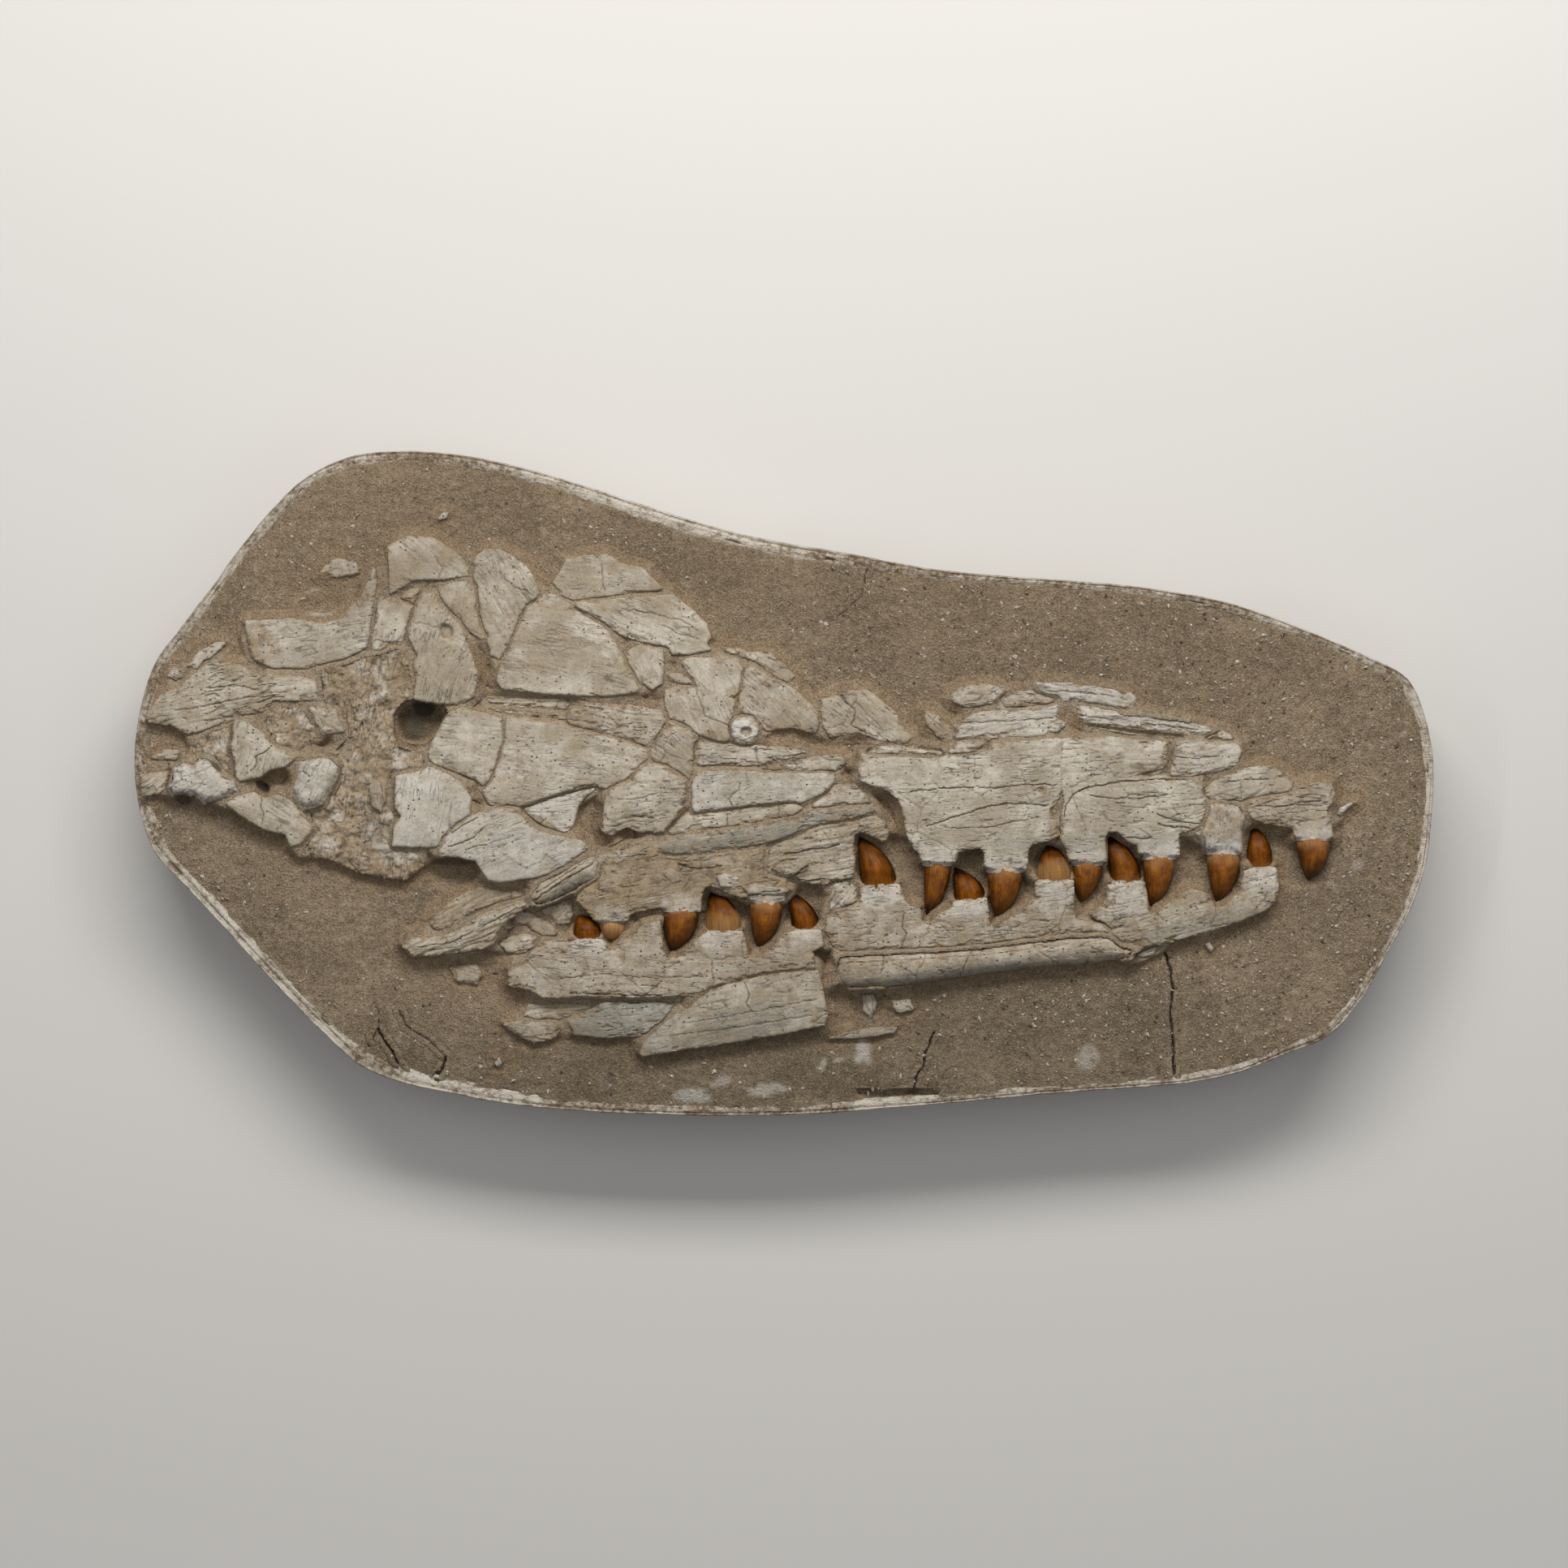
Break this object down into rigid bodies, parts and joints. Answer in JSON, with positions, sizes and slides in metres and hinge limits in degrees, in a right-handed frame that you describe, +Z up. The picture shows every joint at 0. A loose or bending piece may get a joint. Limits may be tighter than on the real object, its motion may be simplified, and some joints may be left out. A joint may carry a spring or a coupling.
{
  "type": "mosasaur fossil skull on a slab",
  "caption": "Crushed mosasaur skull in relief on a slab of chalky rock in a trimmed plaster jacket, shown lying flat with its teeth exposed.",
  "frame": {"origin": "middle of the slab's flat underside, on the surface that it rests on", "axes": "+X along the slab towards the tip of the snout, +Y towards the long edge beyond the skull roof, +Z up, out of the fossil's face"},
  "size_m": [0.6432, 0.3298, 0.0572],
  "materials": {
    "plaster": "chalky plaster, matt",
    "rock": "sandy chalk, matt",
    "bone": "weathered fossil bone, matt",
    "pale_bone": "chalky fossil bone, matt",
    "stained_bone": "iron-stained fossil bone, matt",
    "grey_bone": "dense grey fossil bone, matt",
    "tooth_enamel": "glossy amber enamel"
  },
  "bodies": {
    "root": {"plaster_jacket": "plaster", "rock_block": "rock", "squamosal_plate": "bone", "quadrate_fan": "bone", "quadrate_knob": "bone", "quadrate_core": "stained_bone", "pterygoid_wedge": "bone", "otic_plate_lower": "bone", "otic_boss": "bone", "otic_plate_upper": "stained_bone", "braincase_block": "stained_bone", "supratemporal_outer": "bone", "supratemporal_inner": "bone", "parietal_far": "bone", "postfrontal_far": "bone", "frontal_far": "bone", "prefrontal_far_outer": "bone", "prefrontal_far_inner": "bone", "frontal_far_front": "bone", "nasal_block": "bone", "lacrimal_plate": "bone", "lacrimal_strip": "bone", "ring_boss": "pale_bone", "nasal_strip_outer": "bone", "nasal_strip_inner": "bone", "frontal_tip": "bone", "frontal_midline": "bone", "frontal_near_rear": "bone", "frontal_near_front": "bone", "postfrontal_near": "stained_bone", "parietal_near": "bone", "postorbital_near": "bone", "prefrontal_near": "bone", "jugal_strut": "bone", "jugal_splint": "bone", "jugal_plate": "stained_bone", "dentary_rear": "bone", "splenial_rear": "bone", "angular_plate": "grey_bone", "angular_tip": "bone", "dentary_mid": "bone", "splenial_bar": "bone", "dentary_front": "bone", "nasal_near": "pale_bone", "nasal_scale": "pale_bone", "maxilla_strip": "bone", "palatine_rod": "grey_bone", "maxilla_rear": "stained_bone", "maxilla_fibrous": "bone", "maxilla_mid": "bone", "maxilla_front": "bone", "snout_plate": "bone", "premaxilla_upper": "bone", "premaxilla_lower": "bone", "premaxilla_socket": "pale_bone", "snout_splint_rear": "pale_bone", "snout_splint_outer": "bone", "snout_splint_inner": "bone", "snout_splint_bundle": "bone", "nasal_front": "bone"}
  },
  "joints": []
}
